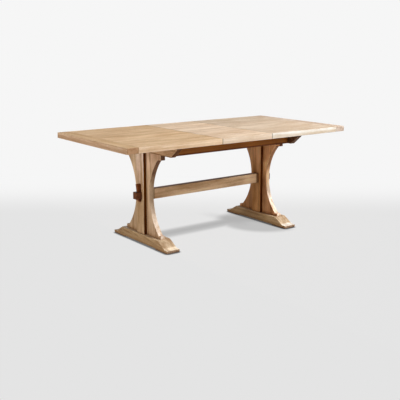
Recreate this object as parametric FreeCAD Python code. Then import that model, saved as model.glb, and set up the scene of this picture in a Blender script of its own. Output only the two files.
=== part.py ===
import FreeCAD, Part
import math
import os

# Extending trestle dining table, shown with its loose centre leaf in place.
# Frame: origin on the floor under the middle of the table, X along the length,
# Y across the width with the front edge at minus Y, Z up. Lengths in millimetres.
# The table is the same after half a turn about Z, so most pieces are made for the
# right-hand side, at plus X, and the left-hand side is that piece turned round.

os.makedirs("parts", exist_ok=True)

# Driving sizes of the whole table
table_length = 1950.0
table_width = 965.0
table_height = 775.0
top_thickness = 40.0
leaf_length = 450.0
half_travel = 50.0

# Clearances
slide_gap = 0.3
seam_gap = 0.4
runner_play = 0.5
joint_play = 0.1
glue_room = 0.5
pin_play = 0.5
pin_end_room = 1.0
pivot_play = 0.05
cut_overrun = 5.0
same_place = 0.01

# Top boards
planks_across = 6
end_board_width = 88.0
plank_tongue_thickness = 8.0
plank_tongue_length = 8.0
end_tongue_thickness = 10.0
end_tongue_length = 20.0
end_groove_stop = 30.0
top_edge_radius = 2.5
seam_ease = 1.5

# Alignment pins in the meeting edges
pin_radius = 4.0
pin_projection = 14.0
pin_depth = 30.0
pin_point_length = 4.0
pin_point_radius = 2.0
pin_height_in_top = 15.0

# Trestle feet
trestle_x = 546.0
foot_thickness = 104.0
foot_half_length = 353.0
foot_height = 70.0
foot_flat_half = 238.0
foot_slope_end = 318.0
foot_slope_end_height = 23.0
foot_nose_height = 21.0
foot_edge_radius = 2.0
pad_thickness = 8.0
pad_inner_reach = 205.0
pad_end_inset = 2.0
pad_side_inset = 1.0
pad_edge_radius = 1.0

# Posts
post_width = 96.0
post_thickness = 80.0
post_edge_radius = 2.5
post_tenon_width = 60.0
post_tenon_thickness = 30.0
post_foot_tenon = 30.0
post_head_tenon = 35.0

# Curved side brackets
bracket_thickness = 36.0
bracket_waist = 87.0
bracket_curve_reach = 200.0
lower_lip_reach = 226.0
lower_lip_height = 20.0
upper_lip_reach = 236.0
upper_lip_height = 36.0
bracket_edge_radius = 1.5
bracket_tongue_thickness = 12.0
bracket_tongue_depth = 10.0

# Head bearers
bearer_height = 75.0
bearer_thickness = 40.0
bearer_half_length = 430.0
bearer_flat_half = 358.0
bearer_nose_height = 16.0
bearer_edge_radius = 2.0

# Stretcher with its through tenons and wedges
stretcher_centre_height = 348.0
stretcher_height = 74.0
stretcher_thickness = 50.0
stretcher_edge_radius = 2.5
tusk_height = 50.0
tusk_thickness = 44.0
tusk_projection = 45.0
tusk_end_radius = 2.0
wedge_height = 128.0
wedge_top_width = 30.0
wedge_foot_width = 14.0
wedge_thickness = 22.0
wedge_above_tusk_centre = 82.0
wedge_edge_radius = 1.5
wedge_draw = 2.0

# Rails under the top
side_rail_outer = 328.0
side_rail_thickness = 25.0
rail_edge_radius = 1.5
rail_tenon_depth = 12.0
rail_tenon_shoulder = 10.0
rail_tenon_thickness = 12.0
guide_rail_thickness = 26.0
guide_groove_depth = 8.5

# Runners that carry the two halves
runner_thickness = 24.0
runner_height = 30.0
runner_inner_reach = 375.0
runner_end_inset = 130.0
runner_tongue_thickness = 8.0
runner_tongue_length = 8.0
runner_tongue_drop = 16.0
runner_tongue_margin = 5.0
runner_notch_play = 1.0
stop_dowel_radius = 5.0
stop_dowel_inset = 20.0
stop_dowel_drop = 16.0
stop_dowel_rise = 22.0
stop_block_length = 30.0
stop_block_gap = 3.0

# Leaf battens
batten_offset = 110.0
batten_width = 50.0
batten_thickness = 18.0
batten_end_gap = 2.0
batten_edge_radius = 3.0

# Wood screws
screw_radius = 2.25
screw_head_radius = 4.5
screw_head_height = 3.0
runner_screw_length = 46.0
batten_screw_length = 34.0
runner_screw_first = 70.0
runner_screw_last = 60.0
runner_screw_count = 5
batten_screw_inner = 80.0
batten_screw_outer = 195.0

# Coach screws of the trestles
coach_radius = 4.0
coach_head_radius = 6.5
coach_head_height = 6.0
hexagon_sides = 6
coach_counterbore_radius = 8.0
coach_counterbore_depth = 20.0
coach_length = 75.0
foot_coach_offset = 140.0
bearer_coach_offset = 150.0
bearer_counterbore_depth = 14.0

# Turn catches that draw the halves to the leaf
catch_offset = 380.0
catch_pivot_inset = 22.0
catch_width = 18.0
catch_thickness = 3.0
catch_end = 10.0
catch_tab_thickness = 3.0
catch_tab_drop = 4.0
catch_shank_radius = 3.0
catch_slot_play = 0.3
pivot_head_radius = 7.0
stud_head_radius = 6.0
catch_head_thickness = 2.4
catch_screw_depth = 16.0
driver_slot_width = 1.4
driver_slot_depth = 1.0

# Heights and places that follow from the sizes above
top_z = table_height
underside_z = table_height - top_thickness
middle_z = table_height - top_thickness / 2
frame_top_z = underside_z - slide_gap
bearer_bottom_z = underside_z - bearer_height
half_width = table_width / 2
half_length = table_length / 2
half_leaf = leaf_length / 2
plank_width = table_width / planks_across
shoulder_x = half_length - end_board_width
pin_z = underside_z + pin_height_in_top
post_face_y = post_width / 2
post_outer_x = trestle_x + post_thickness / 2
post_inner_x = trestle_x - post_thickness / 2
bearer_inner_x = trestle_x - bearer_thickness / 2
bearer_outer_x = trestle_x + bearer_thickness / 2
tusk_end_x = post_outer_x + tusk_projection
side_rail_inner = side_rail_outer - side_rail_thickness
lane_width = runner_thickness + 2 * runner_play
guide_outer = side_rail_inner - lane_width
guide_inner = guide_outer - guide_rail_thickness
outer_lane = guide_outer + runner_play
inner_lane = guide_inner - runner_play - runner_thickness
runner_bottom_z = underside_z - runner_height
runner_tongue_z = underside_z - runner_tongue_drop
stretcher_bottom_z = stretcher_centre_height - stretcher_height / 2
stretcher_top_z = stretcher_centre_height + stretcher_height / 2
wedge_top_z = stretcher_centre_height + wedge_above_tusk_centre
wedge_foot_z = wedge_top_z - wedge_height
catch_pivot_x = half_leaf + catch_pivot_inset
catch_reach = 2 * catch_pivot_inset
catch_top_z = underside_z - slide_gap
catch_bottom_z = catch_top_z - catch_thickness
catch_head_top_z = catch_bottom_z - slide_gap
catch_head_bottom_z = catch_head_top_z - catch_head_thickness

UP = FreeCAD.Vector(0, 0, 1)
ALONG = FreeCAD.Vector(1, 0, 0)
ORIGIN = FreeCAD.Vector(0, 0, 0)

nodes = {}


def box(x0, x1, y0, y1, z0, z1):
    return Part.makeBox(x1 - x0, y1 - y0, z1 - z0, FreeCAD.Vector(x0, y0, z0))


def face_prism(points, closed_edges, push):
    """A prism on a plane outline, given as points or as ready edges."""
    if closed_edges is None:
        wire = Part.makePolygon(points + [points[0]])
    else:
        wire = Part.Wire(closed_edges)
    return Part.Face(wire).extrude(push)


def prism_x(outline, x0, x1):
    """Extrude an outline of (y, z) points along the length of the table."""
    points = [FreeCAD.Vector(x0, y, z) for y, z in outline]
    return face_prism(points, None, FreeCAD.Vector(x1 - x0, 0, 0))


def prism_y(outline, y0, y1):
    """Extrude an outline of (x, z) points across the table."""
    points = [FreeCAD.Vector(x, y0, z) for x, z in outline]
    return face_prism(points, None, FreeCAD.Vector(0, y1 - y0, 0))


def rod_z(radius, x, y, z0, z1):
    return Part.makeCylinder(radius, z1 - z0, FreeCAD.Vector(x, y, z0), UP)


def rod_x(radius, x0, x1, y, z):
    return Part.makeCylinder(radius, x1 - x0, FreeCAD.Vector(x0, y, z), ALONG)


def turned(shape):
    """The same piece at the other end of the table."""
    other = shape.copy()
    other.rotate(ORIGIN, UP, 180)
    return other


def joined(first, *others):
    return first.fuse(list(others)).removeSplitter()


def middle(edge):
    return edge.valueAt((edge.FirstParameter + edge.LastParameter) / 2)


def eased(shape, radius, wanted):
    """Round the edges whose middle point the test accepts."""
    edges = [edge for edge in shape.Edges if wanted(edge, middle(edge))]
    return shape.makeFillet(radius, edges)


def near(a, b):
    return abs(a - b) < same_place


def runs_along(edge, axis):
    ends = edge.Vertexes
    if len(ends) < 2:
        return False
    span = ends[1].Point - ends[0].Point
    return near(span.dot(axis), span.Length) or near(-span.dot(axis), span.Length)


def single(shape):
    """The one solid of a piece, for a clean file."""
    return shape.Solids[0] if len(shape.Solids) == 1 else shape


def both_ends(name, shape):
    """Store a right-hand piece, and the same piece turned round for the left."""
    swap = {"front": "back", "back": "front"}
    words = [swap.get(word, word) for word in name.split("_")]
    nodes["right_" + name] = single(shape)
    nodes["left_" + "_".join(words)] = single(turned(shape))


# Wood screws and coach screws
def wood_screw(x, y, z, length):
    """A countersunk screw driven upwards, its head flush at z."""
    head = Part.makeCone(screw_head_radius, screw_radius, screw_head_height, FreeCAD.Vector(x, y, z), UP)
    return joined(head, rod_z(screw_radius, x, y, z + screw_head_height, z + length))


def coach_screw(x, y, z, direction):
    """A hexagon-headed screw whose head seats at z, driven up or down."""
    start = FreeCAD.Vector(x, y, z)
    corners = []
    for step in range(hexagon_sides + 1):
        angle = 2 * math.pi * step / hexagon_sides
        arm = FreeCAD.Vector(math.cos(angle), math.sin(angle), 0)
        corners.append(start + arm * coach_head_radius)
    head = Part.Face(Part.makePolygon(corners)).extrude(UP * (-direction * coach_head_height))
    shank = Part.makeCylinder(coach_radius, coach_length, start, UP * direction)
    return joined(head, shank)


def coach_hole(x, y, z, direction, depth):
    """The counterbore and the shank hole for a coach screw, open at z."""
    mouth = FreeCAD.Vector(x, y, z) - UP * (direction * cut_overrun)
    bore = Part.makeCylinder(coach_counterbore_radius, depth + cut_overrun, mouth, UP * direction)
    seat = FreeCAD.Vector(x, y, z + direction * depth)
    shank = Part.makeCylinder(coach_radius, coach_length, seat, UP * direction)
    return bore.fuse(shank)


# Boards of the top
def plank(x0, x1, index):
    """A lengthwise board with a groove on its front edge and a tongue on its back edge."""
    y0 = -half_width + index * plank_width
    y1 = y0 + plank_width
    is_front = index == 0
    is_back = index == planks_across - 1
    body = box(x0, x1, y0, y1, underside_z, top_z)
    if is_front or is_back:
        outer_y = y0 if is_front else y1
        body = eased(body, top_edge_radius, lambda edge, at: runs_along(edge, ALONG) and near(at.y, outer_y))
    half_tongue = plank_tongue_thickness / 2
    if not is_front:
        depth = plank_tongue_length + glue_room
        half_groove = half_tongue + joint_play
        body = body.cut(box(x0 - cut_overrun, x1 + cut_overrun, y0 - cut_overrun, y0 + depth,
                            middle_z - half_groove, middle_z + half_groove))
    if not is_back:
        tongue = box(x0, x1, y1, y1 + plank_tongue_length, middle_z - half_tongue, middle_z + half_tongue)
        body = joined(body, tongue)
    return body


def end_tongue(x, index):
    """The stub tongue with which a board enters the end board's groove."""
    y0 = -half_width + index * plank_width
    y1 = y0 + plank_width
    if index == 0:
        y0 += end_groove_stop
    if index == planks_across - 1:
        y1 -= end_groove_stop
    half = end_tongue_thickness / 2
    return box(x, x + end_tongue_length, y0, y1, middle_z - half, middle_z + half)


def seam_cut(x, side):
    """Takes the top arris off a meeting edge; the board lies on the given side of x."""
    reach = seam_ease + cut_overrun
    outline = [
        (x - side * cut_overrun, top_z + cut_overrun),
        (x + side * reach, top_z + cut_overrun),
        (x - side * cut_overrun, top_z - reach),
    ]
    return prism_y(outline, -half_width - cut_overrun, half_width + cut_overrun)


def plank_centre(index):
    return -half_width + (index + 0.5) * plank_width


def alignment_pin(y):
    """A pin in the right-hand half that points at the leaf."""
    root_x = half_leaf + pin_depth
    tip_x = half_leaf - pin_projection
    body = rod_x(pin_radius, tip_x + pin_point_length, root_x, y, pin_z)
    point = Part.makeCone(pin_point_radius, pin_radius, pin_point_length, FreeCAD.Vector(tip_x, y, pin_z), ALONG)
    return joined(body, point)


def half_pin_hole(y):
    """The hole in the right-hand half that takes the other half's pin when the table is closed."""
    depth = pin_projection + pin_end_room
    return rod_x(pin_radius + pin_play, half_leaf - cut_overrun, half_leaf + depth, y, pin_z)


def leaf_pin_slot(y):
    """A slot in the leaf's right-hand edge, open downwards so that the leaf lifts off the pins."""
    reach = pin_radius + pin_play
    inner_x = half_leaf - pin_projection - pin_end_room
    outer_x = half_leaf + cut_overrun
    drop = box(inner_x, outer_x, y - reach, y + reach, underside_z - cut_overrun, pin_z)
    return drop.fuse(rod_x(reach, inner_x, outer_x, y, pin_z))


def runner_screw_places():
    """Distances along X of the screws that hold a right-hand runner."""
    first = half_leaf + runner_screw_first
    last = half_length - runner_end_inset - runner_screw_last
    step = (last - first) / (runner_screw_count - 1)
    return [first + step * count for count in range(runner_screw_count)]


def lane_centres():
    """Y of the right-hand half's two runners: inner lane in front, outer lane at the back."""
    return {"front": -(inner_lane + runner_thickness / 2), "back": outer_lane + runner_thickness / 2}


# Catch parts
def catch_lever(side):
    """A right-hand turn catch, open, pointing at the long edge on the given side."""
    tip = catch_reach + catch_end
    half = catch_width / 2
    y_low, y_high = sorted((0, side * tip))
    lever = box(-half, half, y_low, y_high, catch_bottom_z, catch_top_z)
    lever = joined(lever, rod_z(half, 0, 0, catch_bottom_z, catch_top_z))
    tab_low, tab_high = sorted((side * (tip - catch_tab_thickness), side * tip))
    lever = joined(lever, box(-half, half, tab_low, tab_high, catch_bottom_z - catch_tab_drop, catch_bottom_z))
    low = catch_bottom_z - cut_overrun
    high = catch_top_z + cut_overrun
    reach = catch_shank_radius + catch_slot_play
    ring = rod_z(catch_reach + reach, 0, 0, low, high).cut(rod_z(catch_reach - reach, 0, 0, low, high))
    y_low, y_high = sorted((0, side * tip))
    leading = ring.common(box(-catch_width, 0, y_low, y_high, low, high))
    slot = leading.fuse(rod_z(reach, 0, side * catch_reach, low, high))
    hole = rod_z(catch_shank_radius + pivot_play, 0, 0, low, high)
    lever = lever.cut(slot).cut(hole)
    lever.translate(FreeCAD.Vector(catch_pivot_x, side * catch_offset, 0))
    return lever


def headed_stud(x, y, head_radius):
    """A shouldered screw under the top that holds or catches a lever."""
    shank = rod_z(catch_shank_radius, x, y, catch_head_top_z, underside_z + catch_screw_depth)
    head = rod_z(head_radius, x, y, catch_head_bottom_z, catch_head_top_z)
    slot_top = catch_head_bottom_z + driver_slot_depth
    slot = box(x - head_radius, x + head_radius, y - driver_slot_width / 2, y + driver_slot_width / 2,
               catch_head_bottom_z - cut_overrun, slot_top)
    return joined(shank, head.cut(slot))


# The two halves of the top
pin_planks = [index for index in range(planks_across) if index % 2 == 0]
hole_planks = [index for index in range(planks_across) if index % 2 == 1]
right_pins = [alignment_pin(plank_centre(index)) for index in pin_planks]
right_screws = {}
for place, lane_y in lane_centres().items():
    right_screws[place] = [wood_screw(x, lane_y, runner_bottom_z, runner_screw_length)
                           for x in runner_screw_places()]
all_right_screws = right_screws["front"] + right_screws["back"]
right_pivots = [headed_stud(catch_pivot_x, side * catch_offset, pivot_head_radius) for side in (-1, 1)]


def cut_fasteners(board, fasteners):
    """Take out of a board the room that its pins and screws fill."""
    for fastener in fasteners:
        if board.BoundBox.intersect(fastener.BoundBox):
            board = board.cut(fastener)
    return board


for index in range(planks_across):
    board = joined(plank(half_leaf, shoulder_x, index), end_tongue(shoulder_x, index))
    board = board.cut(seam_cut(half_leaf, 1))
    if index in hole_planks:
        board = board.cut(half_pin_hole(plank_centre(index)))
    board = cut_fasteners(board, right_pins + all_right_screws + right_pivots)
    nodes["right_plank_%d" % (index + 1)] = single(board)
    nodes["left_plank_%d" % (planks_across - index)] = single(turned(board))


def end_board():
    """The board across the end of a half, over the ends of the planks."""
    board = box(shoulder_x, half_length, -half_width, half_width, underside_z, top_z)
    board = eased(board, top_edge_radius, lambda edge, at: not near(at.x, shoulder_x))
    half_groove = end_tongue_thickness / 2 + joint_play
    groove_end = half_width - end_groove_stop + joint_play
    groove = box(shoulder_x - cut_overrun, shoulder_x + end_tongue_length + glue_room, -groove_end, groove_end,
                 middle_z - half_groove, middle_z + half_groove)
    return board.cut(groove)


both_ends("end_board", end_board())


# Runners, in the lanes each side of the guide rails
def runner(place):
    """A right-hand runner with the tongue that runs in the guide rail's groove."""
    inner_x = half_leaf - runner_inner_reach
    outer_x = half_length - runner_end_inset
    y0 = lane_centres()[place] - runner_thickness / 2
    y1 = y0 + runner_thickness
    tongue_end_x = bearer_inner_x - half_travel - runner_tongue_margin
    half_tongue = runner_tongue_thickness / 2
    reach = box(inner_x, half_leaf, y0, y1, runner_bottom_z, underside_z - slide_gap)
    body = box(half_leaf, outer_x, y0, y1, runner_bottom_z, underside_z)
    tongue = box(inner_x, tongue_end_x, y0 - runner_tongue_length, y0,
                 runner_tongue_z - half_tongue, runner_tongue_z + half_tongue)
    return joined(body, reach, tongue)


def stop_dowel(place):
    """A dowel through the inner end of a runner, which meets the stop block."""
    x = half_leaf - runner_inner_reach + stop_dowel_inset
    low = runner_bottom_z - stop_dowel_drop
    high = runner_bottom_z + stop_dowel_rise
    return rod_z(stop_dowel_radius, x, lane_centres()[place], low, high)


def stop_block(place):
    """The block on the guide rail that ends the outward travel of a right-hand runner."""
    dowel_x = half_leaf - runner_inner_reach + stop_dowel_inset
    x0 = dowel_x + stop_dowel_radius + half_travel + slide_gap
    z0 = bearer_bottom_z + rail_tenon_shoulder
    z1 = runner_bottom_z - stop_block_gap
    if place == "front":
        y0, y1 = -guide_inner, -inner_lane
    else:
        y0, y1 = guide_outer, side_rail_inner
    return box(x0, x0 + stop_block_length, y0, y1, z0, z1)


right_stop_dowels = []
right_stop_blocks = []
for place in ("front", "back"):
    dowel = stop_dowel(place)
    bar = cut_fasteners(runner(place), [dowel] + right_screws[place])
    both_ends(place + "_runner", bar)
    right_stop_dowels.append(dowel)
    right_stop_blocks.append(stop_block(place))

nodes["slide_stop_blocks"] = Part.makeCompound(
    right_stop_blocks + [turned(block) for block in right_stop_blocks])
for name, pieces in (
    ("alignment_pins", right_pins),
    ("stop_dowels", right_stop_dowels),
    ("runner_screws", all_right_screws),
    ("catch_pivots", right_pivots),
):
    nodes["right_" + name] = Part.makeCompound(pieces)
    nodes["left_" + name] = Part.makeCompound([turned(piece) for piece in pieces])

both_ends("front_catch", catch_lever(-1))
both_ends("back_catch", catch_lever(1))


# The leaf
def batten(x):
    """A batten under the leaf that keeps it flat and sits between the inner runners."""
    reach = inner_lane - batten_end_gap
    bar = box(x - batten_width / 2, x + batten_width / 2, -reach, reach,
              underside_z - batten_thickness, underside_z)
    return eased(bar, batten_edge_radius, lambda edge, at: near(at.z, underside_z - batten_thickness))


batten_screws = []
for x in (-batten_offset, batten_offset):
    for y in (-batten_screw_outer, -batten_screw_inner, batten_screw_inner, batten_screw_outer):
        batten_screws.append(wood_screw(x, y, underside_z - batten_thickness, batten_screw_length))
leaf_studs = []
for side_x in (-1, 1):
    for side_y in (-1, 1):
        x = side_x * (catch_pivot_x - catch_reach)
        leaf_studs.append(headed_stud(x, side_y * catch_offset, stud_head_radius))

for index in range(planks_across):
    board = plank(-half_leaf + seam_gap, half_leaf - seam_gap, index)
    board = board.cut(seam_cut(-half_leaf + seam_gap, 1)).cut(seam_cut(half_leaf - seam_gap, -1))
    slot_y = plank_centre(index)
    board = board.cut(leaf_pin_slot(slot_y) if index in pin_planks else turned(leaf_pin_slot(-slot_y)))
    nodes["leaf_plank_%d" % (index + 1)] = single(cut_fasteners(board, batten_screws + leaf_studs))

right_batten = cut_fasteners(batten(batten_offset), batten_screws)
both_ends("leaf_batten", right_batten)
nodes["batten_screws"] = Part.makeCompound(batten_screws)
nodes["leaf_catch_studs"] = Part.makeCompound(leaf_studs)


# Trestles
def foot_outline():
    """Side view of a foot without its pads: flat top, sloped ends and a low, nearly level toe."""
    half = [
        (foot_half_length, pad_thickness),
        (foot_half_length, foot_nose_height),
        (foot_slope_end, foot_slope_end_height),
        (foot_flat_half, foot_height),
    ]
    return half + [(-y, z) for y, z in reversed(half)]


def post_tenon(z0, z1, play):
    half_x = post_tenon_thickness / 2 + play
    half_y = post_tenon_width / 2 + play
    return box(trestle_x - half_x, trestle_x + half_x, -half_y, half_y, z0, z1)


def on_face(edge, at, centre_x, thickness):
    """True for an edge that lies in one of the two broad faces of a plate across the table."""
    flat = near(at.x, centre_x - thickness / 2) or near(at.x, centre_x + thickness / 2)
    return flat and not runs_along(edge, ALONG)


foot_coach_places = (-foot_coach_offset, 0, foot_coach_offset)
foot_screws = []
for y in foot_coach_places:
    foot_screws.append(coach_screw(trestle_x, y, pad_thickness + coach_counterbore_depth, 1))
bearer_screws = []
for y in (-bearer_coach_offset, bearer_coach_offset):
    bearer_screws.append(coach_screw(trestle_x, y, frame_top_z - bearer_counterbore_depth, -1))


def foot():
    half = foot_thickness / 2
    body = prism_x(foot_outline(), trestle_x - half, trestle_x + half)
    body = eased(body, foot_edge_radius, lambda edge, at: on_face(edge, at, trestle_x, foot_thickness)
                 and at.z > foot_nose_height)
    body = body.cut(post_tenon(foot_height - post_foot_tenon - joint_play, foot_height + cut_overrun, joint_play))
    for y in foot_coach_places:
        body = body.cut(coach_hole(trestle_x, y, pad_thickness, 1, coach_counterbore_depth))
    return body


def foot_pad(side):
    """A pad glued under one end of the right-hand foot."""
    half = foot_thickness / 2 - pad_side_inset
    y0, y1 = sorted((side * pad_inner_reach, side * (foot_half_length - pad_end_inset)))
    body = box(trestle_x - half, trestle_x + half, y0, y1, 0, pad_thickness)
    return eased(body, pad_edge_radius, lambda edge, at: near(at.z, 0) or runs_along(edge, UP))


def tusk_passage(play):
    """The through mortise in a post, or the tenon that fills it when the play is nought."""
    half_y = tusk_thickness / 2 + play
    half_z = tusk_height / 2 + play
    return box(post_inner_x - cut_overrun, post_outer_x + cut_overrun, -half_y, half_y,
               stretcher_centre_height - half_z, stretcher_centre_height + half_z)


def bracket_tongue(side, play, room):
    """The tongue on a bracket, or the groove in the post's side, with play and room for glue."""
    half = bracket_tongue_thickness / 2 + play
    inner_y = post_face_y - bracket_tongue_depth - room
    y0, y1 = sorted((side * inner_y, side * post_face_y))
    return box(trestle_x - half, trestle_x + half, y0, y1, foot_height, bearer_bottom_z)


def post():
    body = box(post_inner_x, post_outer_x, -post_face_y, post_face_y, foot_height, bearer_bottom_z)
    body = eased(body, post_edge_radius, lambda edge, at: runs_along(edge, UP))
    body = joined(body, post_tenon(foot_height - post_foot_tenon, foot_height, 0),
                  post_tenon(bearer_bottom_z, bearer_bottom_z + post_head_tenon, 0))
    body = body.cut(tusk_passage(joint_play))
    for side in (-1, 1):
        body = body.cut(bracket_tongue(side, joint_play, glue_room))
    return cut_fasteners(body, foot_screws)


def bracket(side):
    """A curved bracket between the post, the foot and the head bearer."""
    x0 = trestle_x - bracket_thickness / 2
    low_z = foot_height + lower_lip_height
    high_z = bearer_bottom_z - upper_lip_height

    def at(y, z):
        return FreeCAD.Vector(x0, side * y, z)

    curve_low = at(bracket_curve_reach, low_z)
    curve_high = at(bracket_curve_reach, high_z)
    waist = at(bracket_waist, (low_z + high_z) / 2)
    corners_below = [at(post_face_y, foot_height), at(lower_lip_reach, foot_height),
                     at(lower_lip_reach, low_z), curve_low]
    corners_above = [curve_high, at(upper_lip_reach, high_z), at(upper_lip_reach, bearer_bottom_z),
                     at(post_face_y, bearer_bottom_z), corners_below[0]]
    edges = []
    for chain in (corners_below, corners_above):
        for start, end in zip(chain, chain[1:]):
            edges.append(Part.LineSegment(start, end).toShape())
        if chain is corners_below:
            edges.append(Part.Arc(curve_low, waist, curve_high).toShape())
    body = face_prism(None, edges, ALONG * bracket_thickness)
    body = eased(body, bracket_edge_radius, lambda edge, mid: on_face(edge, mid, trestle_x, bracket_thickness)
                 and not near(abs(mid.y), post_face_y)
                 and not near(mid.z, foot_height) and not near(mid.z, bearer_bottom_z))
    body = joined(body, bracket_tongue(side, 0, 0))
    return cut_fasteners(body, foot_screws + bearer_screws)


def bearer():
    """The bearer across the head of a trestle, on which the halves of the top slide."""
    nose_z = frame_top_z - bearer_nose_height
    half = [(bearer_flat_half, bearer_bottom_z), (bearer_half_length, nose_z), (bearer_half_length, frame_top_z)]
    outline = half + [(-y, z) for y, z in reversed(half)]
    body = prism_x(outline, bearer_inner_x, bearer_outer_x)
    body = eased(body, bearer_edge_radius, lambda edge, at: on_face(edge, at, trestle_x, bearer_thickness)
                 and not near(at.z, frame_top_z))
    body = body.cut(post_tenon(bearer_bottom_z - cut_overrun, bearer_bottom_z + post_head_tenon + joint_play,
                               joint_play))
    for lane_y in lane_centres().values():
        reach = runner_thickness / 2 + runner_notch_play
        body = body.cut(box(bearer_inner_x - cut_overrun, bearer_outer_x + cut_overrun,
                            lane_y - reach, lane_y + reach,
                            runner_bottom_z - runner_notch_play, frame_top_z + cut_overrun))
    for y in (-bearer_coach_offset, bearer_coach_offset):
        body = body.cut(coach_hole(trestle_x, y, frame_top_z, -1, bearer_counterbore_depth))
    for side in (-1, 1):
        for inner_y, thickness in ((side_rail_inner, side_rail_thickness), (guide_inner, guide_rail_thickness)):
            body = body.cut(rail_tenon(side, inner_y, thickness, joint_play, cut_overrun))
    return body


# Rails between the head bearers
def rail_tenon(side, inner_y, thickness, play, overrun):
    """The right-hand stub tenon of a rail, or its mortise when there is play."""
    half = rail_tenon_thickness / 2 + play
    centre_y = side * (inner_y + thickness / 2)
    x1 = bearer_inner_x + rail_tenon_depth + play
    z0 = bearer_bottom_z + rail_tenon_shoulder - play
    z1 = runner_bottom_z - rail_tenon_shoulder + play
    return box(bearer_inner_x - overrun, x1, centre_y - half, centre_y + half, z0, z1)


def rail(side, inner_y, thickness):
    y0, y1 = sorted((side * inner_y, side * (inner_y + thickness)))
    body = box(-bearer_inner_x, bearer_inner_x, y0, y1, bearer_bottom_z, frame_top_z)
    body = eased(body, rail_edge_radius, lambda edge, at: runs_along(edge, ALONG)
                 and near(at.z, bearer_bottom_z))
    tenon = rail_tenon(side, inner_y, thickness, 0, 0)
    return joined(body, tenon, turned(rail_tenon(-side, inner_y, thickness, 0, 0)))


def guide_rail(side):
    """A rail grooved on both faces, one groove for each half's runner."""
    body = rail(side, guide_inner, guide_rail_thickness)
    half = runner_tongue_thickness / 2 + runner_play
    for face_y, inwards in ((guide_outer, -1), (guide_inner, 1)):
        y0, y1 = sorted((side * (face_y - inwards * cut_overrun), side * (face_y + inwards * guide_groove_depth)))
        body = body.cut(box(-bearer_inner_x - cut_overrun, bearer_inner_x + cut_overrun, y0, y1,
                            runner_tongue_z - half, runner_tongue_z + half))
    return body


# Stretcher and wedges
def wedge_outline(low_z, high_z, inner_x):
    """Side view of the wedge between two heights: upright inner side, tapered outer side."""
    def outer_x(z):
        share = (z - wedge_foot_z) / wedge_height
        return post_outer_x + wedge_foot_width + share * (wedge_top_width - wedge_foot_width)
    return [(inner_x, low_z), (outer_x(low_z), low_z), (outer_x(high_z), high_z), (inner_x, high_z)]


def wedge():
    body = prism_y(wedge_outline(wedge_foot_z, wedge_top_z, post_outer_x),
                   -wedge_thickness / 2, wedge_thickness / 2)
    return eased(body, wedge_edge_radius, lambda edge, at: not near(at.x, post_outer_x))


def wedge_mortise():
    half_y = wedge_thickness / 2 + joint_play
    low_z = stretcher_centre_height - tusk_height / 2 - cut_overrun
    high_z = stretcher_centre_height + tusk_height / 2 + cut_overrun
    return prism_y(wedge_outline(low_z, high_z, post_outer_x - wedge_draw), -half_y, half_y)


def tusk():
    """The right-hand through tenon of the stretcher."""
    half_y = tusk_thickness / 2
    half_z = tusk_height / 2
    body = box(0, tusk_end_x, -half_y, half_y, stretcher_centre_height - half_z, stretcher_centre_height + half_z)
    return eased(body, tusk_end_radius, lambda edge, at: near(at.x, tusk_end_x))


def stretcher():
    half_y = stretcher_thickness / 2
    body = box(-post_inner_x, post_inner_x, -half_y, half_y, stretcher_bottom_z, stretcher_top_z)
    body = eased(body, stretcher_edge_radius, lambda edge, at: runs_along(edge, ALONG))
    body = joined(body, tusk(), turned(tusk()))
    return body.cut(wedge_mortise()).cut(turned(wedge_mortise()))


both_ends("foot", foot())
both_ends("post", post())
both_ends("front_bracket", bracket(-1))
both_ends("back_bracket", bracket(1))
both_ends("head_bearer", bearer())
both_ends("wedge", wedge())
nodes["stretcher"] = single(stretcher())
for place, side in (("front", -1), ("back", 1)):
    nodes[place + "_side_rail"] = single(rail(side, side_rail_inner, side_rail_thickness))
    nodes[place + "_guide_rail"] = single(guide_rail(side))
for name, pieces in (
    ("foot_pads", [foot_pad(-1), foot_pad(1)]),
    ("coach_screws", foot_screws + bearer_screws),
):
    nodes[name] = Part.makeCompound(pieces + [turned(piece) for piece in pieces])

for name, shape in sorted(nodes.items()):
    shape.exportStep("parts/" + name + ".step")
    state = "valid" if shape.isValid() else "not valid"
    print(name, len(shape.Solids), "solids", round(shape.Volume), state)
print(len(nodes), "nodes")
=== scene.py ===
import math
import random
from typing import NamedTuple

import bpy
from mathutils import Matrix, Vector

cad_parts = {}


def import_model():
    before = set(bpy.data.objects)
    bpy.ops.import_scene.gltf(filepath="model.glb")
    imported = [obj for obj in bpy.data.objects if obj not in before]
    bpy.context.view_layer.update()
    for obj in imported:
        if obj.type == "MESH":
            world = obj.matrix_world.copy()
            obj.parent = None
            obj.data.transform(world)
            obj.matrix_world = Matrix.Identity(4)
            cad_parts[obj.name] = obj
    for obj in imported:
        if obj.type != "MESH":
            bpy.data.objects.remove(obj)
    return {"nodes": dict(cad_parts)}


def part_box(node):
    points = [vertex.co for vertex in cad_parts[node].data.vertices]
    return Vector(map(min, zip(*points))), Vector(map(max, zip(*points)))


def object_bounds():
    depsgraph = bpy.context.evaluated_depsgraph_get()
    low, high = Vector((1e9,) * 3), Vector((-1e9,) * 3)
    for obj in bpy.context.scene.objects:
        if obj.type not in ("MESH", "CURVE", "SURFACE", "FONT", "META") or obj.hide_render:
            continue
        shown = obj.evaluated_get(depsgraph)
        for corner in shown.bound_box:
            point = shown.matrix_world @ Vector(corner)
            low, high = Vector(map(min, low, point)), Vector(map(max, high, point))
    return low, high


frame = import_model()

# Extending trestle dining table in oak. Metres, Z up, the front long edge at minus Y.
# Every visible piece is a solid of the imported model. This script gives each its wood or
# metal, and adds the floor, the lamps and the camera.

cad_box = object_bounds()

# The axis that a grain runs along or that a face looks along. OFF_X is a face that looks
# any other way than along X.
ALONG_X, ALONG_Y, ALONG_Z, OFF_X = 0, 1, 2, 3


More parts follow.
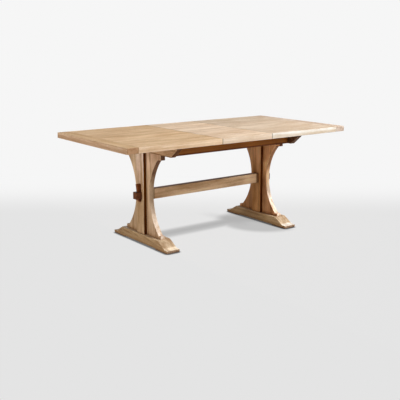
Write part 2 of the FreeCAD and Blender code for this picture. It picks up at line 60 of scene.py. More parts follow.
# Node graph helpers
class Graph:
    """A short way to build a material's nodes."""

    def __init__(self, tree):
        self.tree = tree

    def add(self, kind, inputs=None, **settings):
        made = self.tree.nodes.new("ShaderNode" + kind)
        for name, value in settings.items():
            setattr(made, name, value)
        for socket, value in (inputs or {}).items():
            self.feed(made.inputs[socket], value)
        return made

    def feed(self, socket, value):
        if isinstance(value, bpy.types.NodeSocket):
            self.tree.links.new(value, socket)
        else:
            socket.default_value = value

    def math(self, operation, a, b=0.0, c=0.0, clamp=False):
        made = self.add("Math", {0: a, 1: b, 2: c}, operation=operation, use_clamp=clamp)
        return made.outputs[0]

    def total(self, start, terms):
        """The start plus each value times its weight."""
        for value, weight in terms:
            start = self.math("MULTIPLY_ADD", value, weight, start)
        return start

    def vector(self, operation, a, b=(0, 0, 0)):
        made = self.add("VectorMath", {0: a, 1: b}, operation=operation)
        return made.outputs["Value" if operation in ("LENGTH", "DOT_PRODUCT") else "Vector"]

    def turned(self, place, angles):
        made = self.add("VectorRotate", {"Vector": place, "Rotation": angles}, rotation_type="EULER_XYZ")
        return made.outputs["Vector"]

    def smooth(self, value, low, high, to_low=0.0, to_high=1.0):
        """A smooth step of a value from one range to another."""
        made = self.add("MapRange", {"Value": value, "From Min": low, "From Max": high,
                                     "To Min": to_low, "To Max": to_high},
                        interpolation_type="SMOOTHSTEP")
        return made.outputs["Result"]

    def noise(self, place, rates, detail, roughness=0.5):
        """Noise that changes about so many times in a metre along each axis."""
        made = self.add("TexNoise", {"Vector": self.vector("MULTIPLY", place, rates), "Scale": 1.0,
                                     "Detail": detail, "Roughness": roughness})
        return made.outputs["Fac"]

    def open_sky(self, reach, samples):
        """How much is open around a point within a reach: one in the open, less in a corner."""
        return self.add("AmbientOcclusion", {"Distance": reach}, samples=samples).outputs["AO"]

    def mix(self, factor, a, b, blend_type="MIX"):
        """Mixes two colours. The Mix node keeps its colours in sockets 6 and 7 and output 2."""
        made = self.add("Mix", {"Factor": factor}, data_type="RGBA", blend_type=blend_type)
        self.feed(made.inputs[6], a)
        self.feed(made.inputs[7], b)
        return made.outputs[2]

    def tinted(self, colour, tint, mask=1.0):
        """The colour times a tint where the mask is one."""
        return self.mix(mask, colour, (*tint, 1.0), blend_type="MULTIPLY")

    def show(self, shader):
        self.feed(self.add("OutputMaterial").inputs["Surface"], shader)


def new_material(name):
    """An empty material and the graph of its nodes."""
    material = bpy.data.materials.new(name)
    material.use_nodes = True
    material.node_tree.nodes.clear()
    return material, Graph(material.node_tree)


def linear(red, green, blue):
    """An sRGB colour of 0 to 255 as Blender's linear colour."""
    def channel(value):
        share = value / 255
        return share / 12.92 if share <= 0.04045 else ((share + 0.055) / 1.055) ** 2.4
    return (channel(red), channel(green), channel(blue), 1.0)


# The figure of oak, in a log's own frame with Z along the grain. Each noise has its rates,
# which say how often it changes in a metre across the grain, twice, and along it, then its
# detail and roughness. A span says between which values a part comes in, and from what to
# what where that isn't zero to one.
FIGURE_PARTS = ("Rings", "Bands", "Streaks", "Fibres", "Pores", "Flecks")
RING_WIDTH = 0.0042
RING_WANDER = 0.040
RING_SHIVER_SHARE = 0.5
RING_SPREAD = 5.0
EARLY_WOOD_SHARE = 0.16
LATE_WOOD_SHARE = 0.95
BAND_WIDTH = 0.060
STREAK_WIDTH = 0.018
FIBRE_WIDTH = 0.0016
PORE_WIDTH = 0.0007
WANDER = ((5, 5, 0.9), 3.0)
SHIVER = ((40, 40, 5), 2.0)
SPREAD = ((18, 18, 0.4), 2.0)
BANDS = ((1 / BAND_WIDTH, 1 / BAND_WIDTH, 1.1), 3.0)
STREAKS = ((1 / STREAK_WIDTH, 1 / STREAK_WIDTH, 1.6), 4.0, 0.6)
FIBRES = ((1 / FIBRE_WIDTH, 1 / FIBRE_WIDTH, 14), 2.0, 0.65)
PORES = ((1 / PORE_WIDTH, 1 / PORE_WIDTH, 70), 1.0)
FLECKS = ((420, 60, 22), 1.0)
PORE_SPAN = (0.60, 0.70)
PORE_RING_SPAN = (0.15, 0.7, 0.35, 1.0)
FLECK_SPAN = (0.62, 0.72)


def group_tree(name, inputs, outputs):
    """A new node group with its sockets; gives its graph and its end nodes."""
    tree = bpy.data.node_groups.new(name, "ShaderNodeTree")
    for label, kind in inputs:
        tree.interface.new_socket(label, in_out="INPUT", socket_type="NodeSocket" + kind)
    for label, kind in outputs:
        tree.interface.new_socket(label, in_out="OUTPUT", socket_type="NodeSocket" + kind)
    start = tree.nodes.new("NodeGroupInput")
    end = tree.nodes.new("NodeGroupOutput")
    return Graph(tree), start.outputs, end.inputs


def growth_rings(graph, place):
    """Rings about the pith that wander and shiver, each with a soft start and a slow end."""
    wander = graph.noise(place, *WANDER)
    shiver = graph.noise(place, *SHIVER)
    spread = graph.noise(place, *SPREAD)
    from_pith = graph.vector("LENGTH", graph.vector("MULTIPLY", place, (1, 1, 0)))
    radius = graph.total(from_pith, [(wander, RING_WANDER), (shiver, RING_WIDTH * RING_SHIVER_SHARE)])
    ring = graph.math("FRACT", graph.total(graph.math("DIVIDE", radius, RING_WIDTH),
                                           [(spread, RING_SPREAD)]))
    early = graph.smooth(ring, 0.0, EARLY_WOOD_SHARE)
    late = graph.smooth(ring, EARLY_WOOD_SHARE, LATE_WOOD_SHARE, 1.0, 0.0)
    return graph.math("MULTIPLY", early, late)


def wood_figure():
    """The growth rings, bands, streaks, fibres, pores and flecks of oak as a node group."""
    graph, given, wanted = group_tree("wood_figure", [("Place", "Vector")],
                                      [(label, "Float") for label in FIGURE_PARTS])
    place = given["Place"]
    rings = growth_rings(graph, place)
    bands = graph.noise(place, *BANDS)
    streaks = graph.noise(place, *STREAKS)
    fibres = graph.noise(place, *FIBRES)
    spots = graph.smooth(graph.noise(place, *PORES), *PORE_SPAN)
    pores = graph.math("MULTIPLY", spots, graph.smooth(rings, *PORE_RING_SPAN))
    flecks = graph.smooth(graph.noise(place, *FLECKS), *FLECK_SPAN)
    for label, value in zip(FIGURE_PARTS, (rings, bands, streaks, fibres, pores, flecks)):
        graph.feed(wanted[label], value)
    return graph.tree


FIGURE = wood_figure()


# Where a piece lies in its log: the turn that brings its grain along Z, how far it leans in
# degrees, and its distances from the pith, as shares of the usual one, and along the log.
GRAIN_TURNS = {ALONG_X: (0, math.pi / 2, 0), ALONG_Y: (math.pi / 2, 0, 0), ALONG_Z: (0, 0, 0)}
LEAN = 1.6
PITH_DISTANCE = 0.09
PITH_ASIDE_SHARES = (0.7, 1.5)
PITH_BESIDE_SHARE = 0.8
LOG_STRETCH = (2, 40)


def log_place(graph, node, axis, place):
    """Where each point of the piece lies in the log that the piece was cut from."""
    chance = random.Random(node)
    low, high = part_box(node)
    centred = graph.vector("SUBTRACT", place, tuple((low + high) / 2))
    along_grain = graph.turned(centred, GRAIN_TURNS[axis])
    lean = [math.radians(chance.uniform(-LEAN, LEAN)) for _ in range(2)]
    lean.append(math.radians(chance.uniform(0, 360)) if axis == ALONG_Z else 0)
    side = chance.choice((-1, 1))
    shift = (side * PITH_DISTANCE * chance.uniform(*PITH_ASIDE_SHARES),
             PITH_DISTANCE * chance.uniform(-PITH_BESIDE_SHARE, PITH_BESIDE_SHARE),
             chance.uniform(*LOG_STRETCH))
    return graph.vector("ADD", graph.turned(along_grain, lean), shift)


# How much each part of the figure darkens the wood, and how much of it the pores, the flecks
# and the end grain cover.
RING_DEPTH = 0.34
FIBRE_DEPTH = 0.30
DEPTH_START = 0.30
STREAK_DEPTH_SPAN = (0.32, 0.68, 0.0, 0.46)
BAND_DEPTH_SPAN = (0.34, 0.66, -0.06, 0.30)
CLOUD_DEPTH_SPAN = (0.34, 0.66, -0.06, 0.34)
CLOUDS = ((9, 9, 4), 3.0)
PORE_TONE = 0.55
PORE_COVER = 0.55
FLECK_COVER = 0.22
END_GRAIN_COVER = 0.8
END_STREAK_SPAN = (0.3, 0.7)


def wood_colour(graph, figure, place, end_grain, timber):
    """The colour of the wood itself, before wear, tints and joints."""
    clouds = graph.noise(place, *CLOUDS)
    depth = graph.total(0.0, [(figure["Rings"], RING_DEPTH), (figure["Fibres"], FIBRE_DEPTH)])
    for layer, span in ((figure["Streaks"], STREAK_DEPTH_SPAN), (figure["Bands"], BAND_DEPTH_SPAN),
                        (clouds, CLOUD_DEPTH_SPAN)):
        depth = graph.math("ADD", depth, graph.smooth(layer, *span))
    depth = graph.math("SUBTRACT", depth, DEPTH_START, clamp=True)
    colour = graph.mix(depth, linear(*timber.light), linear(*timber.dark))
    pore_colour = linear(*[value * PORE_TONE for value in timber.dark])
    colour = graph.mix(graph.math("MULTIPLY", figure["Pores"], PORE_COVER), colour, pore_colour)
    colour = graph.mix(graph.math("MULTIPLY", figure["Flecks"], FLECK_COVER), colour,
                       linear(*timber.pale))
    end_colour = graph.mix(graph.smooth(figure["Streaks"], *END_STREAK_SPAN),
                           linear(*timber.end_light), linear(*timber.end_dark))
    return graph.mix(graph.math("MULTIPLY", end_grain, END_GRAIN_COVER), colour, end_colour)


# Pale arrises: partly wear, partly a painted highlight like the one that eased edges catch.
ARRIS_WEAR_AND_HIGHLIGHT = 0.0036
ARRIS_SAMPLES = 4
TURNED_SPAN = (0.01, 0.12)
RUBBED = ((28, 28, 28), 3.0)
RUBBED_SPAN = (0.35, 0.6, 0.25, 1.0)


def worn_and_highlit_arrises(graph, own_place):
    """One where an arris is rubbed pale in patches: partly wear, partly a painted highlight."""
    normal = graph.add("NewGeometry").outputs["Normal"]
    rounded = graph.add("Bevel", {"Radius": ARRIS_WEAR_AND_HIGHLIGHT}, samples=ARRIS_SAMPLES).outputs["Normal"]
    turned = graph.math("SUBTRACT", 1.0, graph.vector("DOT_PRODUCT", rounded, normal))
    rubbed = graph.noise(own_place, *RUBBED)
    return graph.math("MULTIPLY", graph.smooth(turned, *TURNED_SPAN),
                      graph.smooth(rubbed, *RUBBED_SPAN))


# Colours on the stretcher: its dark-stained tusks beyond the posts, and a painted shade beside the
# posts.
TUSK_TINT = (0.18, 0.08, 0.035)
TUSK_EDGE = 0.0005
POST_PAINTED_SHADE = (0.26, 0.18, 0.11)
POST_SHADE_REACH = 0.034
POST_SHADE_CORE = 0.014


def stretcher_tusks_and_painted_shade(graph, colour, across):
    near_side, far_side = [corner.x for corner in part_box("right_post")]
    out = graph.math("ABSOLUTE", across)
    beyond = graph.smooth(out, far_side - TUSK_EDGE, far_side + TUSK_EDGE)
    # Painted shade on the stretcher where it meets the posts.
    painted_shade_beside = graph.smooth(out, near_side - POST_SHADE_REACH, near_side - POST_SHADE_CORE)
    colour = graph.tinted(colour, TUSK_TINT, beyond)
    return graph.tinted(colour, POST_PAINTED_SHADE, graph.math("SUBTRACT", painted_shade_beside, beyond))


# How squarely a face looks along an axis before it counts as looking that way, the dark joint lines,
# the painted shade in corners and between parts, and what the parts of the figure add to bump and
# roughness.
FACING_SPAN = (0.6, 0.9)
SEAM_TINT = (0.16, 0.11, 0.07)
SEAM_CORE_SHARE = 0.45
CORNER_SHADE_TINT = (0.58, 0.47, 0.38)
CORNER_REACH = 0.030
CORNER_SAMPLES = 8
CORNER_SPAN = (0.35, 0.95, 1.0, 0.0)
BUMP_STRENGTH = 0.35
BUMP_HEIGHT = 0.0004
FIBRE_BUMP, PORE_BUMP, RING_BUMP = 0.5, -0.8, -0.25
FIBRE_ROUGHNESS, END_GRAIN_ROUGHNESS, WORN_ROUGHNESS = 0.14, 0.15, -0.10
ROUGHNESS_OFFSET = -0.07


def wood(node, axis, timber, seams, faces):
    """Wood for one piece: its own part of a log, end grain, arrises worn pale with a painted highlight,
    painted shade in corners, dark joints.
    """
    low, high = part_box(node)
    material, graph = new_material(node)
    own = graph.add("TexCoord").outputs
    spot = graph.add("SeparateXYZ", {0: own["Object"]}).outputs
    facing = list(graph.add("SeparateXYZ", {0: graph.vector("ABSOLUTE", own["Normal"])}).outputs)
    facing.append(graph.math("SUBTRACT", 1.0, facing[ALONG_X]))
    end_grain = graph.smooth(facing[axis], *FACING_SPAN)
    place = log_place(graph, node, axis, own["Object"])
    group = graph.add("Group")
    group.node_tree = FIGURE
    graph.feed(group.inputs["Place"], place)
    figure = group.outputs

    colour = wood_colour(graph, figure, place, end_grain, timber)
    worn_and_highlit = worn_and_highlit_arrises(graph, own["Object"])
    # Pale arrises, from wear and a painted highlight.
    colour = graph.mix(graph.math("MULTIPLY", worn_and_highlit, timber.wear), colour, linear(*timber.pale))
    for face_axis, height_shares, tint in faces:
        heights = [low.z + share * (high.z - low.z) for share in height_shares]
        mask = graph.math("MULTIPLY", graph.smooth(facing[face_axis], *FACING_SPAN),
                          graph.smooth(spot["Z"], *heights))
        colour = graph.tinted(colour, tint, mask)
    if node == "stretcher":
        colour = stretcher_tusks_and_painted_shade(graph, colour, spot["X"])
    for seam_axis, where, width, darkness in seams:
        distance = graph.math("ABSOLUTE", graph.math("SUBTRACT", spot[seam_axis], where))
        line = graph.smooth(distance, width * SEAM_CORE_SHARE, width, darkness, 0.0)
        outside = graph.smooth(facing[seam_axis], *FACING_SPAN, 1.0, 0.0)
        colour = graph.tinted(colour, SEAM_TINT, graph.math("MULTIPLY", line, outside))
    # Painted shade: darker in corners and between parts, where the piece is closed in by others.
    painted_corner_shade = graph.smooth(graph.open_sky(CORNER_REACH, CORNER_SAMPLES), *CORNER_SPAN)
    colour = graph.tinted(colour, CORNER_SHADE_TINT, painted_corner_shade)
    colour = graph.tinted(colour, timber.tint)

    height = graph.total(0.0, [(figure["Fibres"], FIBRE_BUMP), (figure["Pores"], PORE_BUMP),
                               (figure["Rings"], RING_BUMP)])
    bump = graph.add("Bump", {"Strength": BUMP_STRENGTH, "Distance": BUMP_HEIGHT, "Height": height})
    roughness = graph.total(timber.roughness + ROUGHNESS_OFFSET,
                            [(figure["Fibres"], FIBRE_ROUGHNESS), (end_grain, END_GRAIN_ROUGHNESS),
                             (worn_and_highlit, WORN_ROUGHNESS)])
    shader = graph.add("BsdfPrincipled", {"Base Color": colour, "Roughness": roughness,
                                          "Normal": bump.outputs["Normal"],
                                          "Specular IOR Level": timber.specular})
    graph.show(shader.outputs["BSDF"])
    return material


# Metal. Each has its sRGB colour and its roughness.
BRASS = ((199, 160, 92), 0.28)
STEEL = ((150, 150, 152), 0.34)
TOOL_MARKS = ((900, 900, 60), 3.0)
DULLING = ((140, 140, 140), 3.0)
DULL_SPAN = (0.35, 0.75, 0.0, 0.5)
DULL_TONE = 0.72
DULL_ROUGHNESS = 0.22
MARK_STRENGTH = 0.25
MARK_HEIGHT = 0.0002


def metal(name, colour, roughness):
    """Plated or turned metal with fine tool marks and a little dulling."""
    material, graph = new_material(name)
    place = graph.add("TexCoord").outputs["Object"]
    marks = graph.noise(place, *TOOL_MARKS)
    dull = graph.noise(place, *DULLING)
    shade = graph.mix(graph.smooth(dull, *DULL_SPAN), linear(*colour),
                      linear(*[value * DULL_TONE for value in colour]))
    bump = graph.add("Bump", {"Strength": MARK_STRENGTH, "Distance": MARK_HEIGHT, "Height": marks})
    shader = graph.add("BsdfPrincipled", {"Base Color": shade, "Metallic": 1.0,
                                          "Roughness": graph.total(roughness, [(dull, DULL_ROUGHNESS)]),
                                          "Normal": bump.outputs["Normal"]})
    graph.show(shader.outputs["BSDF"])
    return material


class Timber(NamedTuple):
    """One kind of wood: its sRGB colours, how matt and shiny it is, how pale its arrises are from wear
    and a painted highlight, and its tint.
    """

    light: tuple
    dark: tuple
    end_light: tuple
    end_dark: tuple
    pale: tuple
    roughness: float = 0.5
    specular: float = 0.42
    wear: float = 0.5
    tint: tuple = (1.0, 1.0, 1.0)


OAK = Timber(light=(228, 197, 156), dark=(190, 150, 104), end_light=(186, 144, 108),
             end_dark=(158, 116, 82), pale=(248, 226, 194), roughness=0.60, specular=0.15, wear=0.85)
TRESTLE_OAK = Timber(light=(240, 210, 170), dark=(164, 122, 78), end_light=(178, 134, 98),
                     end_dark=(146, 104, 72), pale=(250, 224, 188), roughness=0.58, specular=0.22,
                     wear=0.7)
RAIL = Timber(light=(144, 88, 42), dark=(112, 64, 26), end_light=(110, 62, 24),
              end_dark=(90, 48, 16), pale=(166, 108, 60), specular=0.12, wear=0.3)
STAINED = Timber(light=(122, 76, 44), dark=(84, 48, 26), end_light=(90, 52, 28),
                 end_dark=(70, 38, 18), pale=(150, 104, 70), specular=0.1, wear=0.3)
BEECH = Timber(light=(214, 176, 132), dark=(190, 148, 104), end_light=(170, 128, 88),
               end_dark=(146, 106, 70), pale=(226, 190, 148), roughness=0.45)
PAD = Timber(light=(176, 150, 122), dark=(150, 124, 98), end_light=(150, 124, 98),
             end_dark=(130, 104, 80), pale=(186, 160, 132), roughness=0.7, wear=0.1)

# Tints by piece, which bring each to the tone that it has in the photo, where both the wood
# and the light on it vary. The first word that a node's name holds gives its tint.
TINTS = (
    ("left_end_board", (0.96, 0.92, 0.88)),
    ("right_end_board", (0.91, 1.01, 1.36)),
    ("left_plank", (1.02, 1.01, 1.03)),
    ("leaf_plank", (1.15, 1.26, 1.59)),
    ("right_plank", (0.97, 1.09, 1.40)),
    ("left_head_bearer", (1.20, 1.08, 1.00)),
    ("right_head_bearer", (0.26, 0.16, 0.09)),
    ("left_front_bracket", (0.97, 0.90, 0.88)),
    ("left_back_bracket", (0.97, 0.90, 0.84)),
    ("right_front_bracket", (1.30, 1.04, 0.82)),
    ("right_back_bracket", (0.92, 0.60, 0.33)),
    ("left_post", (1.09, 1.04, 1.00)),
    ("right_post", (0.98, 0.67, 0.42)),
    ("foot", (0.76, 0.79, 0.86)),
    ("stretcher", (1.38, 1.32, 1.29)),
    ("side_rail", (1.46, 1.38, 0.60)),
    ("wedge", (1.57, 1.13, 0.36)),
)

# Tints of single faces, for light and shade of the photo that the lamps don't give: the axis
# that they look along, between which shares of the piece's own height the tint comes in, and
# the tint.
ANY_HEIGHT_SHARES = (-2.0, -1.0)
FACE_TINTS = (
    ("left_end_board", ALONG_X, ANY_HEIGHT_SHARES, (1.04, 1.02, 1.12)),
    ("left_plank", ALONG_Y, ANY_HEIGHT_SHARES, (1.23, 1.35, 1.60)),
    ("leaf_plank", ALONG_Y, ANY_HEIGHT_SHARES, (1.05, 1.15, 1.28)),
    ("right_plank", ALONG_Y, ANY_HEIGHT_SHARES, (1.23, 1.48, 1.80)),
    ("plank", ALONG_Y, (0.62, 0.38), (0.88, 0.82, 0.76)),
    ("end_board", ALONG_X, (0.68, 0.42), (0.86, 0.82, 0.80)),
    ("right_end_board", ALONG_Y, ANY_HEIGHT_SHARES, (1.28, 1.55, 1.74)),
    ("left_post", ALONG_X, (0.47, 0.78), (1.34, 1.52, 2.05)),
    ("left_post", ALONG_Y, ANY_HEIGHT_SHARES, (0.22, 0.100, 0.012)),
    ("right_post", ALONG_X, (0.43, 0.73), (1.34, 1.44, 1.78)),
    ("right_post", ALONG_Y, ANY_HEIGHT_SHARES, (0.17, 0.085, 0.022)),
    ("left_front_bracket", ALONG_X, (0.76, 0.88), (1.26, 1.28, 1.40)),
    ("left_front_bracket", OFF_X, (0.54, 0.80), (0.40, 0.27, 0.17)),
    ("left_front_bracket", OFF_X, (0.49, 0.22), (1.18, 1.36, 1.70)),
    ("left_front_bracket", OFF_X, (0.25, 0.10), (1.20, 1.36, 1.56)),
    ("right_front_bracket", ALONG_X, (0.46, 0.73), (1.50, 1.56, 1.50)),
    ("right_front_bracket", ALONG_X, (0.66, 0.76), (0.68, 0.56, 0.50)),
    ("right_front_bracket", ALONG_X, (0.69, 0.39), (0.76, 0.64, 0.56)),
    ("right_front_bracket", OFF_X, (0.91, 0.94), (0.34, 0.22, 0.14)),
    ("right_front_bracket", OFF_X, (0.53, 0.69), (0.48, 0.36, 0.28)),
    ("right_front_bracket", OFF_X, (0.66, 0.49), (1.50, 1.72, 2.10)),
    ("right_front_bracket", OFF_X, (0.46, 0.25), (0.78, 1.00, 1.40)),
    ("right_back_bracket", ALONG_X, (0.42, 0.76), (1.30, 1.38, 1.60)),
    ("left_head_bearer", ALONG_X, (0.15, 0.05), (0.40, 0.30, 0.20)),
    ("left_head_bearer", OFF_X, ANY_HEIGHT_SHARES, (0.25, 0.15, 0.07)),
    ("side_rail", ALONG_Y, (0.21, 0.09), (0.42, 0.32, 0.20)),
    ("foot", ALONG_X, ANY_HEIGHT_SHARES, (1.16, 1.02, 0.76)),
    ("_foot", ALONG_X, (0.68, -0.13), (0.72, 0.60, 0.48)),
    ("foot_pads", ALONG_X, ANY_HEIGHT_SHARES, (0.73, 0.61, 0.50)),
    ("foot", ALONG_Z, (0.42, 0.26), (1.46, 1.62, 1.82)),
    ("foot", ALONG_Z, (0.29, 0.48), (0.95, 0.94, 0.92)),
    ("right_foot", ALONG_Z, (0.42, 0.26), (0.93, 1.01, 1.17)),
    # The stretcher: painted shade on its top face, painted light on its end faces.
    ("stretcher", ALONG_Z, ANY_HEIGHT_SHARES, (0.30, 0.27, 0.31)),
    ("stretcher", ALONG_X, ANY_HEIGHT_SHARES, (1.40, 1.75, 1.9)),
)

# Specular levels of pieces that are duller than their wood, and how pale the arrises of the posts are
# from wear and a painted highlight.
MUTED = (("post", 0.01), ("stretcher", 0.15), ("right_head_bearer", 0.15), ("left_head_bearer", 0.05))
POST_WEAR_AND_HIGHLIGHT = 0.15
TONE_RANGE = (-0.05, 0.04)

# The joint lines between boards: width in metres and how dark they are.
LEAF_JOINT = (0.0034, 0.9)
END_JOINT = (0.0022, 0.6)
BOARD_JOINT = (0.0013, 0.5)


def tone_of(node):
    """A steady small difference in tone between boards."""
    return 1.0 + random.Random("tone " + node).uniform(*TONE_RANGE)


def has_any(node, words):
    return any(word in node for word in words)


def first_for(node, table, otherwise):
    """The table's value beside the first word that the node's name holds."""
    return next((value for word, value in table if word in node), otherwise)


def grain_of(node):
    if has_any(node, ("end_board", "foot", "bearer", "batten", "pads")):
        return ALONG_Y
    return ALONG_Z if has_any(node, ("post", "bracket", "wedge")) else ALONG_X


def timber_of(node):
    if "wedge" in node:
        chosen = STAINED
    elif "side_rail" in node:
        chosen = RAIL
    elif "pads" in node:
        chosen = PAD
    elif has_any(node, ("runner", "guide", "stop", "batten")):
        chosen = BEECH
    elif has_any(node, ("plank", "end_board")):
        chosen = OAK
    else:
        chosen = TRESTLE_OAK
    tint = tuple(value * tone_of(node) for value in first_for(node, TINTS, chosen.tint))
    wear = POST_WEAR_AND_HIGHLIGHT if "post" in node else chosen.wear
    return chosen._replace(specular=first_for(node, MUTED, chosen.specular), wear=wear, tint=tint)


def seams_of(node):
    """The dark lines at a board's joints: axis, place, width and darkness."""
    low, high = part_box(node)
    if "end_board" in node:
        inner = high.x if node.startswith("left") else low.x
        return [(ALONG_X, inner, *END_JOINT)]
    if "_plank_" not in node:
        return []
    width = BOARD_JOINT[0]
    seams = [(ALONG_Y, where, *BOARD_JOINT) for where in (low.y, high.y)
             if min(abs(where - corner[1]) for corner in cad_box) > width]
    open_ends = {"left": (high.x,), "right": (low.x,), "leaf": (low.x, high.x)}[node.split("_")[0]]
    for where in (low.x, high.x):
        seams.append((ALONG_X, where, *(LEAF_JOINT if where in open_ends else END_JOINT)))
    return seams


def finish(node):
    """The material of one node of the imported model."""
    if "pins" in node:
        return metal(node, *BRASS)
    if has_any(node, ("screw", "catch", "pivot", "stud")):
        return metal(node, *STEEL)
    faces = [tint for word, *tint in FACE_TINTS if word in node]
    return wood(node, grain_of(node), timber_of(node), seams_of(node), faces)


for node, piece in frame["nodes"].items():
    piece.data.materials.clear()
    piece.data.materials.append(finish(node))


# Floor and background. The floor that is seen is pale all over, with a painted soft shadow
# and a painted dark contact shadow round the feet. It fades into the backdrop beyond the table,
# and its right part also takes a share of the sun lamp's light and shadow. A matt floor just
# under it, which the camera doesn't see, throws light back up on the table.
VIEW_YAW = 0.6418
FLOOR_HALF = 14.0
FLOOR_DROP = 0.0006
BOUNCE_DROP = 0.0012
FLOOR_NEAR = linear(228, 228, 228)
FLOOR_BOUNCE = linear(176, 176, 176)
BACKDROP = linear(246, 246, 246)
FADE_SPAN = (0.45, 2.1)
FAR_SPAN = (2.6, 4.4)
LIT_SPAN = (-0.62, -0.50, 0.0, 0.15)
SHADE_DARK = 0.68
BAND_MIDDLE = 0.088
BAND_SPAN = (0.050, 0.135, 1.0, 0.0)
POOL_MIDDLE = (0.494, -0.04, 0)
POOL_REACH = (0.318, 0.357)
POOL_SPAN = (0.78, 1.12, 1.0, 0.0)
TRESTLE_SPAN = (0.50, 0.58, 1.0, 0.0)
CONTACT_REACH = 0.026
CONTACT_SAMPLES = 16
CONTACT_SPAN = (0.62, 0.97, 0.20, 1.0)


def plane(name, drop, material):
    painted_corner_shade = [(-1, -1), (1, -1), (1, 1), (-1, 1)]
    mesh = bpy.data.meshes.new(name)
    mesh.from_pydata([(x * FLOOR_HALF, y * FLOOR_HALF, -drop) for x, y in painted_corner_shade], [], [(0, 1, 2, 3)])
    piece = bpy.data.objects.new(name, mesh)
    bpy.context.scene.collection.objects.link(piece)
    mesh.materials.append(material)
    return piece


def painted_soft_shadow(graph, place):
    """A painted soft shadow under the stretcher and along the inside of the right trestle."""
    spot = graph.add("SeparateXYZ", {0: place}).outputs
    aside = graph.math("ABSOLUTE", graph.math("SUBTRACT", spot["Y"], BAND_MIDDLE))
    band = graph.smooth(aside, *BAND_SPAN)
    from_middle = graph.vector("SUBTRACT", place, POOL_MIDDLE)
    shares = graph.vector("MULTIPLY", from_middle, (1 / POOL_REACH[0], 1 / POOL_REACH[1], 0))
    pool = graph.smooth(graph.vector("LENGTH", shares), *POOL_SPAN)
    within = graph.smooth(graph.math("ABSOLUTE", spot["X"]), *TRESTLE_SPAN)
    return graph.math("MULTIPLY", graph.math("MAXIMUM", band, pool), within)


def emission(graph, colour):
    return graph.add("Emission", {"Color": colour, "Strength": 1.0}).outputs[0]


def floor_look():
    """The floor as it is seen: pale, with a painted soft shadow and a painted dark contact line where
    the feet touch it.
    """
    material, graph = new_material("floor_look")
    place = graph.add("TexCoord").outputs["Object"]
    beyond = graph.vector("DOT_PRODUCT", place, (math.sin(VIEW_YAW), math.cos(VIEW_YAW), 0))
    fade = graph.smooth(beyond, *FADE_SPAN)
    far = graph.smooth(graph.vector("LENGTH", place), *FAR_SPAN)
    painted_contact_shadow = graph.smooth(graph.open_sky(CONTACT_REACH, CONTACT_SAMPLES), *CONTACT_SPAN)
    shade = graph.total(1.0, [(painted_soft_shadow(graph, place), SHADE_DARK - 1)])
    painted_floor_shade = graph.math("MULTIPLY", painted_contact_shadow, shade)
    glow = graph.mix(1.0, graph.mix(fade, FLOOR_NEAR, BACKDROP), painted_floor_shade, blend_type="MULTIPLY")
    lit = graph.add("BsdfDiffuse", {"Color": glow}).outputs[0]
    across = graph.add("SeparateXYZ", {0: place}).outputs["X"]
    lit_share = graph.smooth(across, *LIT_SPAN)
    near_look = graph.add("MixShader", {0: lit_share, 1: emission(graph, glow), 2: lit}).outputs[0]
    out_of_reach = graph.math("MAXIMUM", far, fade)
    look = graph.add("MixShader", {0: out_of_reach, 1: near_look, 2: emission(graph, BACKDROP)})
    graph.show(look.outputs[0])
    return material


def floor_bounce():
    """The floor as light meets it: plain matt, so that it throws light back up on the table."""
    material, graph = new_material("floor_bounce")
    graph.show(graph.add("BsdfDiffuse", {"Color": FLOOR_BOUNCE}).outputs[0])
    return material


seen_floor = plane("floor", FLOOR_DROP, floor_look())
seen_floor.visible_diffuse = False
seen_floor.visible_shadow = False
bounce_floor = plane("floor_bounce", BOUNCE_DROP, floor_bounce())
bounce_floor.visible_camera = False
bounce_floor.visible_glossy = False
bounce_floor.visible_transmission = False


# World
WORLD_STRENGTH = 0.03


def seen_directly(graph):
    """One for rays from the camera, for reflections and through glass."""
    path = graph.add("LightPath").outputs
    seen = graph.math("MAXIMUM", path["Is Camera Ray"], path["Is Glossy Ray"])
    return graph.math("MAXIMUM", seen, path["Is Transmission Ray"])


def world():
    made = bpy.data.worlds.new("studio")
    made.use_nodes = True
    made.node_tree.nodes.clear()
    graph = Graph(made.node_tree)
    soft = graph.add("Background", {"Color": (1, 1, 1, 1), "Strength": WORLD_STRENGTH}).outputs[0]
    shown = graph.add("Background", {"Color": BACKDROP, "Strength": 1.0}).outputs[0]
    whole = graph.add("MixShader", {0: seen_directly(graph), 1: soft, 2: shown}).outputs[0]
    graph.feed(graph.add("OutputWorld").inputs["Surface"], whole)
    bpy.context.scene.world = made


world()


# Lamps. Each softbox has its name, its place, what it faces, its width and height, and its
# power in watts.
SOFTBOXES = (
    ("key", (3.56, -3.76, 5.35), (0.1, 0, 0.5), 1.3, 1.3, 600),
    ("front", (0.3, -3.2, 1.6), (0.1, 0, 0.5), 1.4, 1.2, 19),
    ("left", (-3.2, 0.2, 1.0), (-0.3, 0, 0.4), 1.6, 1.4, 34.5),
    ("back", (0.5, 3.2, 0.45), (0.1, 0, 0.45), 1.6, 0.6, 22),
)
SHADOW_SUN_ANGLE = 11
SHADOW_SUN_PLACE = (0.35, -0.27, 1.0)
SHADOW_CASTERS = ("stretcher", "right_foot", "right_post", "right_front_bracket", "right_back_bracket")


def collection_of(name, pieces):
    made = bpy.data.collections.new(name)
    for piece in pieces:
        made.objects.link(piece)
    return made


def facing_along(direction):
    """The turn of a lamp that shines along a direction."""
    return direction.to_track_quat("-Z", "Y").to_euler()


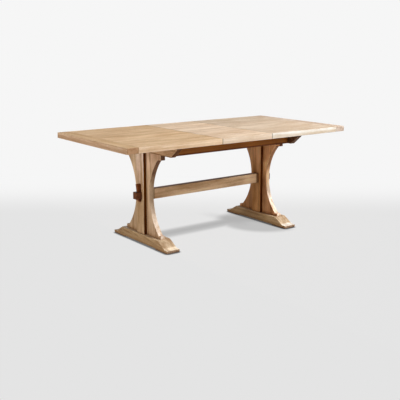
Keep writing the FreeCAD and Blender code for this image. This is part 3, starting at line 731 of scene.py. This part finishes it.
def softbox(name, place, target, width, height, power, receivers):
    """A rectangular lamp that faces its target and stays out of the picture."""
    lamp = bpy.data.lights.new(name, "AREA")
    lamp.shape = "RECTANGLE"
    lamp.size = width
    lamp.size_y = height
    lamp.energy = power
    holder = bpy.data.objects.new(name, lamp)
    holder.location = place
    holder.rotation_euler = facing_along(Vector(target) - Vector(place))
    holder.visible_camera = False
    holder.light_linking.receiver_collection = receivers
    bpy.context.scene.collection.objects.link(holder)


def shadow_sun():
    """Lights only the floor that is seen, evenly, and lets the stretcher and a trestle shade it."""
    lamp = bpy.data.lights.new("shadow_sun", "SUN")
    lamp.angle = math.radians(SHADOW_SUN_ANGLE)
    steepness = Vector(SHADOW_SUN_PLACE).normalized().z
    lamp.energy = math.pi / steepness
    holder = bpy.data.objects.new("shadow_sun", lamp)
    holder.rotation_euler = facing_along(-Vector(SHADOW_SUN_PLACE))
    holder.light_linking.receiver_collection = collection_of("seen_floor", [seen_floor])
    casters = [frame["nodes"][name] for name in SHADOW_CASTERS]
    holder.light_linking.blocker_collection = collection_of("shadow_casters", casters)
    bpy.context.scene.collection.objects.link(holder)


not_seen_floor = collection_of("all_but_the_seen_floor", [seen_floor])
not_seen_floor.collection_objects[0].light_linking.link_state = "EXCLUDE"
for settings in SOFTBOXES:
    softbox(*settings, not_seen_floor)
shadow_sun()


# Camera
PHOTO_SIZE = 400
FOCAL_PIXELS = 695
OPTICAL_ROW = 168
SENSOR = 36.0
CAMERA_PLACE = (-3.1214, -4.1006, 1.4152)
CAMERA_PITCH = 0.1797


def camera():
    lens = bpy.data.cameras.new("camera")
    lens.sensor_width = SENSOR
    lens.lens = FOCAL_PIXELS / PHOTO_SIZE * SENSOR
    lens.shift_y = (OPTICAL_ROW - PHOTO_SIZE / 2) / PHOTO_SIZE
    holder = bpy.data.objects.new("camera", lens)
    holder.location = CAMERA_PLACE
    holder.rotation_euler = (math.pi / 2 - CAMERA_PITCH, 0, -VIEW_YAW)
    bpy.context.scene.collection.objects.link(holder)
    bpy.context.scene.camera = holder


camera()
bpy.context.scene.view_settings.view_transform = "Standard"
